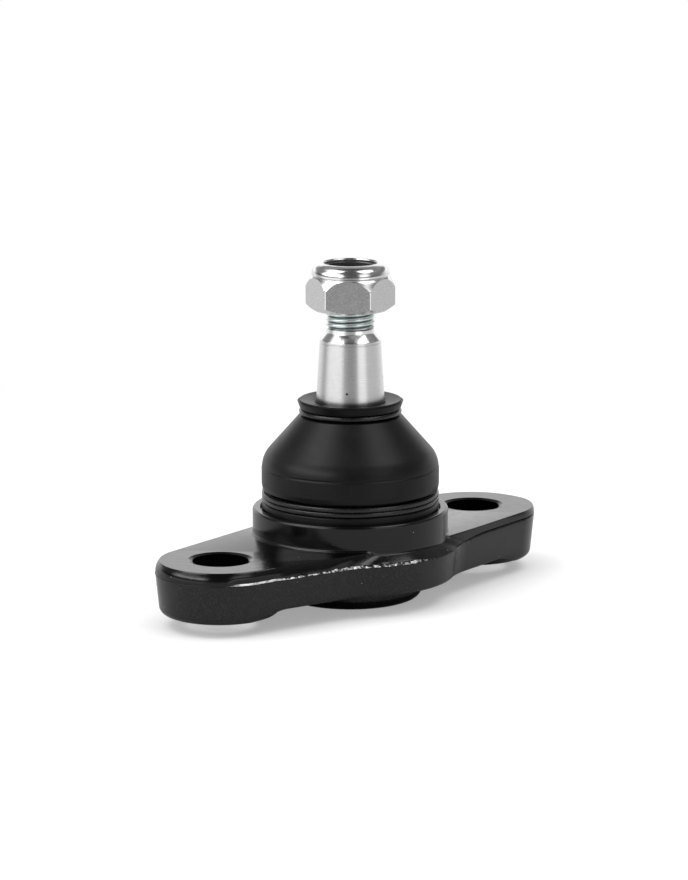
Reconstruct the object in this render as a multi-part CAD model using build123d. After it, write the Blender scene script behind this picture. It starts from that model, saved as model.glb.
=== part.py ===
from build123d import *
from math import asin, atan2, cos, radians, sin, tan
import os

# Suspension ball joint with a two-bolt forged flange. Millimetres.
# Z is the stud's axis at rest and z = 0 is the underside, where the rolled rim stands on a bench.
# X runs through the two bolt holes.

# Cover, rolled rim and disc spring
rim_thickness = 1.2          # lip rolled in over the cover
rim_width = 2.95             # how far it reaches in under the cover
cover_thickness = 3.0
cover_ledge = 0.9            # width of the ledge that the cover seats on
cover_dish_radius = 9.0
cover_dish_depth = 0.8
spring_thickness = 1.2
spring_height = 2.05         # pressed to its working height
spring_bore_radius = 8.0
spring_side_clearance = 0.9

# Ball and its seats
ball_diameter = 28.0
ball_flat = 0.7              # flat turned on the bottom of the ball
running_clearance = 0.05     # radial, of the ball and of the stud in its bush
seat_wall = 2.5              # at the ball's equator
seat_floor = 2.2             # lower seat's thickness under the ball
seat_hole_radius = 4.0
seat_split = 0.5             # the upper seat ends this far below the ball's centre
seat_gap = 1.0               # take-up gap between the two seats
seat_cone_start = 2.0        # above the ball's centre
seat_cone_height = 5.0
seat_cone_draw = 3.25        # how far the cone draws in over that height
mouth_land = 1.0             # straight part of the mouth above the seat
mouth_flare = 1.7            # the mouth opens by this much towards its top

# Flange of the housing
bolt_spacing = 100.0
bolt_hole_diameter = 15.5
bolt_hole_chamfer = 0.25
flange_drop = 4.0            # the flange's top face lies this far below the ball's centre
shoulder_depth = 3.4         # from the top face down to the forging's parting line
lobe_radius = 18.1           # at the parting line
lobe_shoulder = 1.2          # how far the shoulder draws in at a lobe
flank_radius = 27.2          # circle round the stud's axis that the straight flanks aim past
centre_radius = 30.9         # round middle of the forging, at the parting line
centre_shoulder = 4.1
flank_blend = 13.0
draft_angle = 5.7
lobe_thickness = 14.9        # top face to the underside of a lobe
web_lift = 2.6               # the web's underside stands this far above the lobes'
pad_inset = 0.3              # the round pad under a lobe stands in from the lobe's drafted side
pad_edge = 2.6
web_edge = 2.0

# Round middle of the housing
boss_wall = 2.25             # between the boss's side and the recess
boss_height = 7.4            # above the top face
boss_edge = 0.7
recess_clearance = 0.45      # turned recess in the boss's top face, round the boot's bead
recess_depth = 1.7
cup_radius = 20.5            # cup below the web
cup_edge = 2.8
boot_groove_depth = 1.0      # waist of the neck that the boot's bead sits in
boot_groove_height = 6.1     # from the recess's floor to the lip above it
neck_radius = 22.0
neck_lip = 1.4               # cylindrical part of that lip
neck_top_chamfer = 1.3

# Dust boot, from its bead upwards
boot_fit = 0.15              # clearance of the boot to what it holds or seals on
bead_wall = 1.6              # rubber between the neck's lip and the clamp ring
bead_step = 0.05             # the bead's foot stands in from the clamp ring by this much
bead_foot_height = 3.3
clamp_height = 2.7           # lower clamp ring, two turns of flat wire
clamp_thickness = 1.2
clamp_turns = 2
clamp_groove = 0.3           # depth and width of the groove between its turns
boot_skirt_gap = 0.9         # black gap between the clamp ring and the bellows above it
boot_overhang = 0.05         # the bellows stand out past the clamp ring by this much
skirt_draw = 0.75            # and draw in by this much at their lower edge
skirt_round_height = 1.8
boot_wall = 2.2
wall_height = 6.4            # lower edge of the bellows to the mould crease
crease_depth = 0.4
crease_step = 0.15           # the wall above the crease starts this much further in
shoulder_draw = 0.45         # and has drawn in by this much where the cone's line meets it
shoulder_run = 2.5           # height from the crease to there, all taken by the shoulder's rounding
cone_height = 11.45
cone_top_radius = 14.6
ring_groove_radius = 12.9    # upper ring's groove in the boot's collar
ring_groove_height = 1.75
lip_radius = 15.1
lip_foot_radius = 14.2
lip_thickness = 2.5
lip_dish = 0.5
lip_edge = 0.6               # width of the flat rim round the dish
upper_ring_radius = 14.5
ring_round = 0.4
bush_wall = 1.5
bush_height = 5.6
bush_cover = 1.0             # rubber above the bush

# Stud, from the ball upwards
stud_neck_radius = 8.0
stud_neck_fillet = 2.0
stud_flare = 4.5             # height of the flare from the neck to the bush
flare_fillet = 4.0
boot_seat_radius = 10.0      # cylinder that the boot's bush runs on
boot_seat_spare = 4.5        # its length below the bush
taper_large_diameter = 19.3  # at the top of the boot's lip
taper_ratio = 8.0            # 1 mm of diameter in 8 mm of length
taper_length = 17.1
thread_diameter = 14.0
thread_pitch = 1.5
thread_bevel = 2.1           # height of the bevel between taper and thread relief
relief_height = 1.1
thread_length = 13.9
thread_end_chamfer = 1.0

# Self-locking nut
nut_across_flats = 22.0
free_thread = 5.3            # thread relief to the nut's bearing face, as run on by hand
nut_height = 13.3
hexagon_height = 9.7
nut_top_chamfer = 50.0       # angles of the turned corners
nut_bottom_chamfer = 30.0
washer_ring = 0.3            # the round bearing face is this much smaller than the flats
nut_bore_chamfer = 1.0
collar_radius = 11.0
collar_edge = 3.4
collar_opening_radius = 7.55
collar_wall = 1.1
insert_radius = 9.4
insert_height = 3.3
insert_bore_radius = 6.8
thread_clearance = 0.05
nut_turned = 11.8            # rest angle of the first corner from +X

# Heights and radii that follow from those above
socket_radius = ball_diameter / 2 + running_clearance
seat_radius = socket_radius + seat_wall
cover_radius = seat_radius + cover_ledge
cover_top = rim_thickness + cover_thickness
seat_bottom = cover_top + spring_height
ball_height = seat_bottom + seat_floor + socket_radius
seat_cone_top = ball_height + seat_cone_start + seat_cone_height
mouth_radius = seat_radius - seat_cone_draw
flange_top = ball_height - flange_drop
parting_line = flange_top - shoulder_depth
pad_bottom = flange_top - lobe_thickness
web_bottom = pad_bottom + web_lift
boss_top = flange_top + boss_height
recess_floor = boss_top - recess_depth
boot_groove_top = recess_floor + boot_groove_height
neck_lip_top = boot_groove_top + neck_lip
neck_top = neck_lip_top + neck_top_chamfer
bead_bottom = recess_floor + boot_fit
clamp_inner = neck_radius + bead_wall + 2 * boot_fit
clamp_radius = clamp_inner + clamp_thickness
bead_radius = clamp_radius - bead_step
boot_radius = clamp_radius + boot_overhang
recess_radius = bead_radius + recess_clearance
boss_radius = recess_radius + boss_wall
boot_groove_radius = neck_radius - boot_groove_depth
bead_inner = boot_groove_radius + boot_fit
boot_skirt = boot_radius - skirt_draw
clamp_bottom = bead_bottom + bead_foot_height + boot_fit
clamp_top = clamp_bottom + clamp_height
boot_bottom = clamp_top + boot_skirt_gap
boot_crease = boot_bottom + wall_height
shoulder_height = boot_crease + crease_depth + shoulder_run
cone_top = shoulder_height + cone_height
ring_groove_bottom = cone_top + (cone_top_radius - ring_groove_radius) / 4
ring_groove_top = ring_groove_bottom + ring_groove_height
lip_top = ring_groove_top + lip_thickness
bush_top = lip_top - lip_dish - bush_cover
bush_bottom = bush_top - bush_height
bush_bore = boot_seat_radius + running_clearance
bush_outer = bush_bore + bush_wall
flare_top = bush_bottom - boot_seat_spare
taper_top = lip_top + taper_length
taper_large_radius = taper_large_diameter / 2
taper_small_radius = taper_large_radius - taper_length / taper_ratio / 2
thread_radius = thread_diameter / 2
relief_radius = thread_radius - thread_pitch / 3
relief_bottom = taper_top + thread_bevel
relief_top = relief_bottom + relief_height
thread_end = relief_top + thread_length
nut_bottom = relief_top + free_thread
nut_top = nut_bottom + nut_height
insert_top = nut_top - collar_wall
insert_bottom = insert_top - insert_height


def turned(points, rounds=None):
    """A solid turned about Z from a closed outline of (radius, height) points.

    rounds gives the corner radii, each under the number of its point.
    """
    outline = make_face(Polyline(*points, close=True))
    for number, radius in (rounds or {}).items():
        corner = Vector(*points[number], 0)
        outline = fillet(outline.vertices().sort_by_distance(corner)[0], radius)
    return revolve(Plane.XZ * outline, Axis.Z)


def upright(radius, bottom, top):
    """A plain cylinder about Z between two heights."""
    return Pos(0, 0, bottom) * Cylinder(radius, top - bottom, align=(Align.CENTER, Align.CENTER, Align.MIN))


def beside(solid):
    """Two copies of a solid, one on the centre line of each bolt hole."""
    return [Pos(x, 0, 0) * solid for x in (-bolt_spacing / 2, bolt_spacing / 2)]


def flange_outline(lobe, flank, centre, height):
    """The flange seen from above: a lobe at each bolt, straight flanks and a round middle."""
    slope = asin((flank - lobe) / (bolt_spacing / 2))
    outer = (bolt_spacing / 2 + lobe * sin(slope), lobe * cos(slope))
    inner = (flank * sin(slope), flank * cos(slope))
    flanks = Polygon(
        outer, inner, (-inner[0], inner[1]), (-outer[0], outer[1]),
        (-outer[0], -outer[1]), (-inner[0], -inner[1]),
        (inner[0], -inner[1]), (outer[0], -outer[1]),
        align=None,
    )
    plan = flanks + beside(Circle(lobe)) + Circle(centre)
    kinks = plan.vertices().filter_by(lambda corner: abs(corner.X) < centre)
    return Pos(0, 0, height) * fillet(kinks, flank_blend)


def make_housing():
    """Forged housing: flange, boss, neck for the boot and the cup that is closed by the cover."""
    parting = flange_outline(lobe_radius, flank_radius, centre_radius, parting_line)
    top = flange_outline(
        lobe_radius - lobe_shoulder, flank_radius - lobe_shoulder,
        centre_radius - centre_shoulder, flange_top,
    )
    shoulder = loft([parting.face(), top.face()], ruled=True)
    web = extrude(parting, parting_line - web_bottom, dir=(0, 0, -1), taper=draft_angle)
    web = fillet(web.faces().sort_by(Axis.Z)[0].outer_wire().edges(), web_edge)
    pad_radius = lobe_radius - (parting_line - pad_bottom) * tan(radians(draft_angle)) - pad_inset
    pad = upright(pad_radius, pad_bottom, parting_line)
    pad = fillet(pad.edges().sort_by(Axis.Z)[0], pad_edge)
    boss_foot = flange_top - shoulder_depth / 2
    middle = turned(
        [
            (0, 0), (cup_radius, 0), (cup_radius, boss_foot), (boss_radius, boss_foot),
            (boss_radius, boss_top), (recess_radius, boss_top), (recess_radius, recess_floor),
            (boot_groove_radius, recess_floor), (boot_groove_radius, boot_groove_top),
            (neck_radius, boot_groove_top), (neck_radius, neck_lip_top),
            (neck_radius - neck_top_chamfer, neck_top), (0, neck_top),
        ],
        {1: cup_edge, 4: boss_edge, 5: boss_edge / 2},
    )
    body = shoulder + web + beside(pad) + middle
    return body - socket_space() - beside(bolt_hole())


def socket_space():
    """What is bored out of the housing: mouth, seat bore, cover ledge and rolled rim."""
    rim_bore = cover_radius - rim_width
    return turned(
        [
            (0, -1), (rim_bore, -1), (rim_bore, rim_thickness), (cover_radius, rim_thickness),
            (cover_radius, cover_top), (seat_radius, cover_top),
            (seat_radius, ball_height + seat_cone_start),
            (mouth_radius, seat_cone_top), (mouth_radius, seat_cone_top + mouth_land),
            (mouth_radius + mouth_flare, neck_top), (mouth_radius + mouth_flare, neck_top + 1),
            (0, neck_top + 1),
        ]
    )


def bolt_hole():
    """A bolt hole with its chamfered mouths, as a solid to cut away."""
    radius = bolt_hole_diameter / 2
    wide = radius + bolt_hole_chamfer
    return turned(
        [
            (0, pad_bottom - 1), (wide, pad_bottom - 1), (wide, pad_bottom),
            (radius, pad_bottom + bolt_hole_chamfer), (radius, flange_top - bolt_hole_chamfer),
            (wide, flange_top), (wide, flange_top + 1), (0, flange_top + 1),
        ]
    )


def make_upper_ball_seat():
    """Upper bearing shell, wedged in the cone below the mouth."""
    blank = turned(
        [
            (0, ball_height - seat_split), (seat_radius, ball_height - seat_split),
            (seat_radius, ball_height + seat_cone_start), (mouth_radius, seat_cone_top), (0, seat_cone_top),
        ]
    )
    return blank - Pos(0, 0, ball_height) * Sphere(socket_radius)


def make_lower_ball_seat():
    """Lower bearing shell, pressed up against the ball by the disc spring."""
    top = ball_height - seat_split - seat_gap
    blank = turned(
        [
            (seat_hole_radius, seat_bottom), (seat_radius, seat_bottom),
            (seat_radius, top), (seat_hole_radius, top),
        ],
        {1: seat_wall / 2},
    )
    return blank - Pos(0, 0, ball_height) * Sphere(socket_radius)


def make_preload_spring():
    """Disc spring between the cover and the lower seat."""
    outer = seat_radius - spring_side_clearance
    return turned(
        [
            (spring_bore_radius, seat_bottom - spring_thickness), (outer, cover_top),
            (outer, cover_top + spring_thickness), (spring_bore_radius, seat_bottom),
        ]
    )


def make_bottom_cover():
    """Closing disc with a pressed dish, held by the rolled rim."""
    dish_top = rim_thickness + cover_dish_depth
    return turned(
        [
            (0, dish_top), (cover_dish_radius, dish_top),
            (cover_dish_radius + cover_dish_depth, rim_thickness),
            (cover_radius, rim_thickness), (cover_radius, cover_top), (0, cover_top),
        ]
    )


def make_ball_stud():
    """Ball, neck, cylinder for the boot's bush, taper and threaded end in one forging."""
    thread_bottom = relief_top + thread_radius - relief_radius
    shank = turned(
        [
            (0, ball_height), (stud_neck_radius, ball_height), (stud_neck_radius, flare_top - stud_flare),
            (boot_seat_radius, flare_top), (boot_seat_radius, bush_top),
            (taper_large_radius + (lip_top - bush_top) / taper_ratio / 2, bush_top),
            (taper_small_radius, taper_top), (relief_radius, relief_bottom),
            (relief_radius, relief_top), (thread_radius, thread_bottom),
            (thread_radius, thread_end - thread_end_chamfer),
            (thread_radius - thread_end_chamfer, thread_end), (0, thread_end),
        ],
        {2: flare_fillet, 3: flare_fillet / 2},
    )
    ball_radius = ball_diameter / 2
    ball = Pos(0, 0, ball_height) * Sphere(ball_radius)
    ball -= upright(ball_radius, ball_height - ball_radius - 1, ball_height - ball_radius + ball_flat)
    stud = shank + ball
    neck_foot = ball_height + (ball_radius**2 - stud_neck_radius**2) ** 0.5
    return fillet(stud.edges().sort_by_distance((stud_neck_radius, 0, neck_foot))[0], stud_neck_fillet)


def make_lock_nut():
    """Hexagon with turned corners and a round collar rolled in over the insert."""
    hexagon_top = nut_bottom + hexagon_height
    corner_radius = nut_across_flats / 2 / cos(radians(30))
    washer_radius = nut_across_flats / 2 - washer_ring
    top_drop = (corner_radius - washer_radius) * tan(radians(nut_top_chamfer))
    bottom_drop = (corner_radius - washer_radius) * tan(radians(nut_bottom_chamfer))
    prism = extrude(Rot(0, 0, nut_turned) * RegularPolygon(corner_radius, 6), hexagon_height)
    corners = turned(
        [
            (0, nut_bottom), (washer_radius, nut_bottom), (corner_radius, nut_bottom + bottom_drop),
            (corner_radius, hexagon_top - top_drop), (washer_radius, hexagon_top), (0, hexagon_top),
        ]
    )
    hexagon = (Pos(0, 0, nut_bottom) * prism) & corners
    collar = turned(
        [(0, hexagon_top - 1), (collar_radius, hexagon_top - 1), (collar_radius, nut_top), (0, nut_top)],
        {2: collar_edge},
    )
    bore = thread_radius + thread_clearance
    space = turned(
        [
            (0, nut_bottom - 1), (bore + nut_bore_chamfer, nut_bottom - 1),
            (bore + nut_bore_chamfer, nut_bottom), (bore, nut_bottom + nut_bore_chamfer),
            (bore, insert_bottom), (insert_radius, insert_bottom),
            (insert_radius, insert_top), (collar_opening_radius, insert_top),
            (collar_opening_radius, nut_top + 1), (0, nut_top + 1),
        ]
    )
    return hexagon + collar - space


def make_nut_insert():
    """Nylon ring that grips the thread."""
    return turned(
        [
            (insert_bore_radius, insert_bottom), (insert_radius, insert_bottom),
            (insert_radius, insert_top), (insert_bore_radius, insert_top),
        ]
    )


def make_dust_boot():
    """Rubber boot: bead, cylindrical wall, rounded shoulder, cone, ring groove and sealing lip."""
    corner_radius = boot_radius - shoulder_draw
    slope = cone_height / (corner_radius - cone_top_radius)
    turn = atan2(1, slope)
    lean = atan2(shoulder_draw - crease_step, shoulder_run)
    shoulder_radius = shoulder_run / tan((turn - lean) / 2)
    wall = boot_radius - boot_wall
    inner_shoulder = shoulder_height - slope * shoulder_draw - boot_wall * tan(turn / 2)
    bush_bay = bush_outer + boot_fit
    bay_top = bush_top + boot_fit
    cone_inner_top = inner_shoulder + slope * (wall - bush_bay - boot_wall / 2)
    groove_floor = clamp_inner - boot_fit
    seal = taper_large_radius + (lip_top - bay_top) / taper_ratio / 2 + boot_fit
    return turned(
        [
            (bead_inner, bead_bottom), (bead_radius, bead_bottom), (bead_radius, clamp_bottom - boot_fit),
            (groove_floor, clamp_bottom - boot_fit), (groove_floor, boot_bottom),
            (boot_skirt, boot_bottom), (boot_radius, boot_bottom + skirt_round_height),
            (boot_radius, boot_crease - crease_depth), (boot_radius - crease_depth, boot_crease),
            (boot_radius - crease_step, boot_crease + crease_depth), (corner_radius, shoulder_height),
            (cone_top_radius, cone_top), (ring_groove_radius, ring_groove_bottom),
            (ring_groove_radius, ring_groove_top), (lip_foot_radius, ring_groove_top),
            (lip_radius, lip_top), (lip_radius - lip_edge, lip_top), (seal, lip_top - lip_dish),
            (seal, bay_top), (bush_bay, bay_top), (bush_bay, cone_inner_top),
            (bush_bay + boot_wall / 2, cone_inner_top), (wall, inner_shoulder),
            (wall, neck_lip_top + boot_fit),
            (neck_radius + boot_fit, neck_lip_top), (neck_radius + boot_fit, boot_groove_top - boot_fit),
            (bead_inner, boot_groove_top - boot_fit),
        ],
        {6: boot_wall / 2, 10: shoulder_radius * 0.98, 22: (shoulder_radius - boot_wall) / 2},
    )


def make_lower_clamp_ring():
    """Flat-wire ring that holds the bead in the neck's groove; fine grooves part its turns."""
    ring = turned(
        [
            (clamp_inner, clamp_bottom), (clamp_radius, clamp_bottom),
            (clamp_radius, clamp_top), (clamp_inner, clamp_top),
        ],
        {1: clamp_groove, 2: clamp_groove},
    )
    for number in range(1, clamp_turns):
        height = clamp_bottom + number * clamp_height / clamp_turns
        ring -= turned(
            [
                (clamp_radius - clamp_groove, height), (clamp_radius + clamp_groove, height + clamp_groove),
                (clamp_radius + clamp_groove, height - clamp_groove),
            ]
        )
    return ring


def make_boot_bush():
    """Bush in the boot's collar, in which the stud turns."""
    return turned(
        [
            (bush_bore, bush_bottom), (bush_outer, bush_bottom),
            (bush_outer, bush_top), (bush_bore, bush_top),
        ]
    )


def make_upper_clamp_ring():
    """Ring in the groove below the sealing lip."""
    bottom = ring_groove_bottom + boot_fit
    top = ring_groove_top - boot_fit
    inner = ring_groove_radius + boot_fit
    return turned(
        [(inner, bottom), (upper_ring_radius, bottom), (upper_ring_radius, top), (inner, top)],
        {1: ring_round, 2: ring_round},
    )


pieces = {
    "housing": make_housing,
    "upper_ball_seat": make_upper_ball_seat,
    "lower_ball_seat": make_lower_ball_seat,
    "preload_spring": make_preload_spring,
    "bottom_cover": make_bottom_cover,
    "ball_stud": make_ball_stud,
    "dust_boot": make_dust_boot,
    "lower_clamp_ring": make_lower_clamp_ring,
    "boot_bush": make_boot_bush,
    "upper_clamp_ring": make_upper_clamp_ring,
    "lock_nut": make_lock_nut,
    "nut_insert": make_nut_insert,
}

os.makedirs("parts", exist_ok=True)
for name, make in pieces.items():
    export_step(make(), f"parts/{name}.step")
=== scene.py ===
from collections import namedtuple
from math import acos, asin, atan2, cos, floor, hypot, pi, radians, sin, sqrt, tan

import bmesh
import bpy
from mathutils import Matrix, Vector, noise
from mathutils.bvhtree import BVHTree


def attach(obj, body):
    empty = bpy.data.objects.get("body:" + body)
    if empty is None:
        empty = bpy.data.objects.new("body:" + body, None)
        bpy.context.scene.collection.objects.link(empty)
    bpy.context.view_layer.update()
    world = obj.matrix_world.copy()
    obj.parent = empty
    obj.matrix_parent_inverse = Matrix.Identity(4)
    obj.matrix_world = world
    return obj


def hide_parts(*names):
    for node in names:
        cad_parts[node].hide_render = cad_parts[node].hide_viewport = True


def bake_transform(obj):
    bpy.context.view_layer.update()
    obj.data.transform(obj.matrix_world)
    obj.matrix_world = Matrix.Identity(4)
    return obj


# Suspension ball joint dressed for rendering. Lengths are millimetres in the row's frame until a mesh
# is made, which divides them by 1000. The stud's axis is X = Y = 0 and the rolled rim stands on Z = 0.

MM = 0.001
TURN = 2 * pi

# Camera. YAW is the angle from the flange's long axis to the picture's horizontal, and ELEVATION is in
# degrees. The distance and the point it looks at are in metres.
YAW = radians(44.24)
ELEVATION = 11.65
DISTANCE = 1.100
TARGET_SIDE = -0.00179
TARGET_HEIGHT = 0.04486
FOCAL_PIXELS = 3889.45
FRAME_HEIGHT = 880
SENSOR = 36

# Forging
BOLT_X = 50.0
HOLE_RADIUS = 7.75
HOLE_ROUNDING = 0.3
FLANGE_TOP = 18.5
PARTING = 15.1
PAD_BOTTOM = 3.6
WEB_BOTTOM = 6.2
DRAFT = tan(radians(5.7))
LOBE_RADIUS = 18.1
FLANK_RADIUS = 27.2
CENTRE_RADIUS = 30.9
LOBE_DRAW = 1.2  # the top edge stands in from the parting line by this much at a lobe
CENTRE_DRAW = 4.1  # and by this much round the middle
FLANK_BLEND = 24.0
OUTLINE_STEPS = (62, 80, 24, 46)  # round a lobe, along a flank, round a blend and round the middle
TOP_ROUNDING = 0.08
FLASH_RIDGE = 0.10  # how far the trimmed flash stands out of the wall
FLASH_DROP = 0.42  # the drafted wall starts this far below the flash
FLASH_FACET = (0.50, 0.60)  # width and height of the sloping ledge above it
FLASH_START = (-61.0, -58.5)  # X over which that ledge fades in, round the left-hand lobe
RUBBED_FLASH = (-43, -46)  # over which its coat wears through, towards the left
EVEN_FLASH = (-42, -47)  # over which it grows even, towards the left
THIN_FLASH = (-26, -31)  # over which it grows thin, towards the left
FLASH_END = (-3, 4)  # and over which it fades out, past the round middle
HIGH_PARTING = 1.2  # the flash runs this much higher along the right-hand front flank
HIGH_ALONG = (14, 34)  # X over which it climbs there
HIGH_ACROSS = (2, -8)  # and Y
PAD_EDGE = 2.4
WEB_EDGE = 1.3
PAD_RADIUS = 16.65
PAD_PROUD = 0.03

# Round middle of the housing
BOSS_RADIUS = 27.75
BOSS_TOP = 25.9
BOSS_FOOT = 0.85
RECESS_RADIUS = 25.5
RECESS_FLOOR = 24.2
CUP_RADIUS = 20.5
GROOVE_RADIUS = 21.0
GROOVE_TOP = 30.3
NECK_RADIUS = 22.0
NECK_LIP_TOP = 31.7
NECK_TOP = 33.0
RIM_BORE = 14.5
RIM_THICKNESS = 1.2
COVER_RADIUS = 17.45
COVER_TOP = 4.2
SEAT_RADIUS = 16.55
SEAT_CONE = (24.5, 29.5)
MOUTH_RADIUS = 13.3
MOUTH_TOP = 30.5
MOUTH_WIDE = 15.0

# Boot, its rings and the bush inside its collar
BOOT_FIT = 0.15  # clearance of the boot and its upper ring to what they hold or seal on
WIRE_GAP = 0.05  # between the turns of a wire ring
BEAD_RADIUS = 25.05
BEAD_BOTTOM = 24.35
CLAMP_BOTTOM = 27.8
CLAMP_TOP = 30.5
CLAMP_INNER = 23.9
CLAMP_RADIUS = 25.1
BOOT_BOTTOM = 31.4
BOOT_RADIUS = 25.15
BOOT_WALL = 2.2
WALL_INSIDE_TOP = 39.4
CREASE = 37.8
CREASE_HEIGHT = 0.4
CREASE_STEP = 0.15  # the wall above the crease starts this much further in
SHOULDER = 40.7
SHOULDER_RADIUS = 24.7
CONE_TOP = 52.15
CONE_TOP_RADIUS = 14.6
CONE_INSIDE = (12.8, 52.4)  # radius and height where the cone's inside ends
RING_GROOVE = (52.575, 54.325)
RING_GROOVE_RADIUS = 12.9
UPPER_RING_RADIUS = 14.5
LIP_TOP = 56.825
LIP_RADIUS = 15.1
LIP_FOOT_RADIUS = 14.2
BUSH_TOP = 55.325
BUSH_RADIUS = 11.55

# Stud
BALL_HEIGHT = 22.5
BALL_RADIUS = 14.0
BALL_FLAT = 0.7
STUD_NECK = 8.0
STUD_ROOT = STUD_NECK + 0.55  # radius where the neck's fillet meets the ball
FLARE = (40.725, 45.225)
BOOT_SEAT = 10.0
TAPER_RADIUS = 9.65
TAPER_TOP = 73.925
TAPER_TOP_RADIUS = 8.58
# Fine groove just below that: its corners' depths, and how far they stand out from the top's radius
TAPER_GROOVE = ((0.90, 0.055), (0.82, -0.11), (0.64, -0.11), (0.54, 0.034))
BEVEL_TOP = 76.025
RELIEF_RADIUS = 6.75
THREAD_START = 77.125
THREAD_END = 91.025
THREAD_RADIUS = 7.0
THREAD_ROOT = 6.08
THREAD_CHAMFER = 1.2
PITCH = 1.5

# Nut
NUT_BOTTOM = 82.425
NUT_TOP = 95.725
HEX_TOP = 92.125
NUT_FLATS = 22.0
NUT_TURNED = radians(11.8)
NUT_WASHER = 10.7  # radius of the round face that turning leaves on top of the hexagon
NUT_FOOT = NUT_WASHER - 0.3  # and under it
NUT_EDGE = 0.45  # rounding of the hexagon's upright edges
NUT_TOP_CHAMFER = 1.1 * tan(radians(60))
NUT_TOP_CURVE = 1.4  # the upper chamfer steepens outwards by this power
NUT_BOTTOM_CHAMFER = tan(radians(35))
BORE_CLEARANCE = 0.05
BORE_CHAMFER = 1.2
COLLAR_RADIUS = 11.0
COLLAR_OPENING = 7.55
INSERT_TOP = 94.625
INSERT_BOTTOM = 91.325
INSERT_RADIUS = 9.4
INSERT_CLEARANCE = 0.02

# Floor and lamps
FLOOR_RADIUS = 550.0
FLOOR_FADE = (200.0, 340.0)  # radii between which it fades into the background
LAMP_DISTANCE = 1.3  # metres from LAMP_TARGET, a height on the stud's axis in metres
LAMP_TARGET = 0.05

# Room. Each band of it blends in between two heights, which are sines of the elevation, and has its
# brightness against azimuth, which is 0 towards the camera and grows to the picture's right.
BRIGHTEST = 5.0
BELOW = (
    (-180, 1.0), (-128, 0.95), (-106, 0.45), (-99, 0.6), (-84, 1.3), (-31, 1.4), (-24, 0.4), (0, 0.20),
    (24, 0.35), (30, 1.5), (53, 1.4), (62, 0.85), (110, 0.72), (150, 1.0), (180, 1.0),
)
HORIZON = (
    (-180, 1.0), (-128, 0.95), (-106, 0.5), (-99, 0.6), (-84, 1.2), (-31, 1.3), (-22, 0.6), (0, 0.45),
    (22, 0.55), (30, 1.8), (52, 1.7), (62, 0.8), (110, 0.72), (150, 1.0), (180, 1.0),
)
LOW_WALL = (
    (-180, 1.35), (-140, 1.25), (-120, 0.10), (0, 0.08), (100, 0.15), (140, 1.2), (180, 1.25),
)
WALL = (
    (-180, 1.20), (-163, 1.20), (-150, 0.3), (-100, 0.2), (-84, 4.4), (-30, 4.4), (-20, 0.12), (0, 0.10),
    (26, 0.12), (32, 1.8), (54, 1.6), (66, 0.2), (150, 0.2), (163, 1.15), (180, 1.20),
)
HIGH_WALL = (
    (-180, 0.22), (-100, 0.22), (-84, 1.6), (-34, 1.6), (-22, 0.10), (0, 0.08), (26, 0.10), (34, 1.0),
    (56, 1.0), (68, 0.2), (180, 0.35),
)
TOP = (
    (-180, 0.30), (-125, 0.35), (-106, 1.1), (-56, 1.4), (-42, 0.10), (0, 0.08), (42, 0.10), (56, 1.3),
    (74, 1.3), (88, 0.15), (180, 0.30),
)
CEILING = ((-180, 0.08), (180, 0.08))
ROOM = (
    (-0.14, -0.08, HORIZON), (0.05, 0.10, LOW_WALL), (0.24, 0.32, WALL), (0.48, 0.54, HIGH_WALL),
    (0.64, 0.72, TOP), (0.88, 0.94, CEILING),
)

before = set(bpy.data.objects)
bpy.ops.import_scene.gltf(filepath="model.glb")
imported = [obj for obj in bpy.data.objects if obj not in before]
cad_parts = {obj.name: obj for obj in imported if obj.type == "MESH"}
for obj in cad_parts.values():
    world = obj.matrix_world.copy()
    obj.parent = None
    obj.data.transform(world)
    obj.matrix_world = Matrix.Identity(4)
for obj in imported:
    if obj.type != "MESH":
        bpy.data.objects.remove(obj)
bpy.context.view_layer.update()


# ---------------------------------------------------------------- meshes

def clean(mesh, nearest, close=False):
    """Merges points nearer than a distance in metres, drops slivers or closes ends, and turns faces out."""
    work = bmesh.new()
    work.from_mesh(mesh)
    bmesh.ops.remove_doubles(work, verts=work.verts, dist=nearest)
    if close:
        bmesh.ops.holes_fill(work, edges=[edge for edge in work.edges if edge.is_boundary], sides=0)
    else:
        bmesh.ops.dissolve_degenerate(work, edges=work.edges, dist=1e-7)
    bmesh.ops.recalc_face_normals(work, faces=work.faces)
    work.to_mesh(mesh)
    work.free()


def mesh_object(name, points, faces, slots=None):
    """A mesh object from points in millimetres, with its faces turned outwards."""
    mesh = bpy.data.meshes.new(name)
    mesh.from_pydata([(x * MM, y * MM, z * MM) for x, y, z in points], [], faces)
    if slots:
        mesh.polygons.foreach_set("material_index", slots)
    clean(mesh, 2e-7)
    made = bpy.data.objects.new(name, mesh)
    bpy.context.collection.objects.link(made)
    return made


def rounded(corners, steps=6, closed=True):
    """Outline points from corners (radius, height) or (radius, height, rounding)."""
    points = []
    count = len(corners)
    for number, corner in enumerate(corners):
        here = Vector(corner[:2])
        size = corner[2] if len(corner) > 2 else 0
        if not size or (not closed and number in (0, count - 1)):
            points.append(tuple(here))
            continue
        before = (Vector(corners[number - 1][:2]) - here).normalized()
        after = (Vector(corners[(number + 1) % count][:2]) - here).normalized()
        half = acos(max(-1, min(1, before.dot(after)))) / 2
        centre = here + (before + after).normalized() * size / sin(half)
        start = here + before * size / tan(half) - centre
        sweep = pi - 2 * half
        if start.x * after.y - start.y * after.x < 0:
            sweep = -sweep
        for step in range(steps + 1):
            angle = sweep * step / steps
            points.append((
                centre.x + start.x * cos(angle) - start.y * sin(angle),
                centre.y + start.x * sin(angle) + start.y * cos(angle),
            ))
    return points


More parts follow.
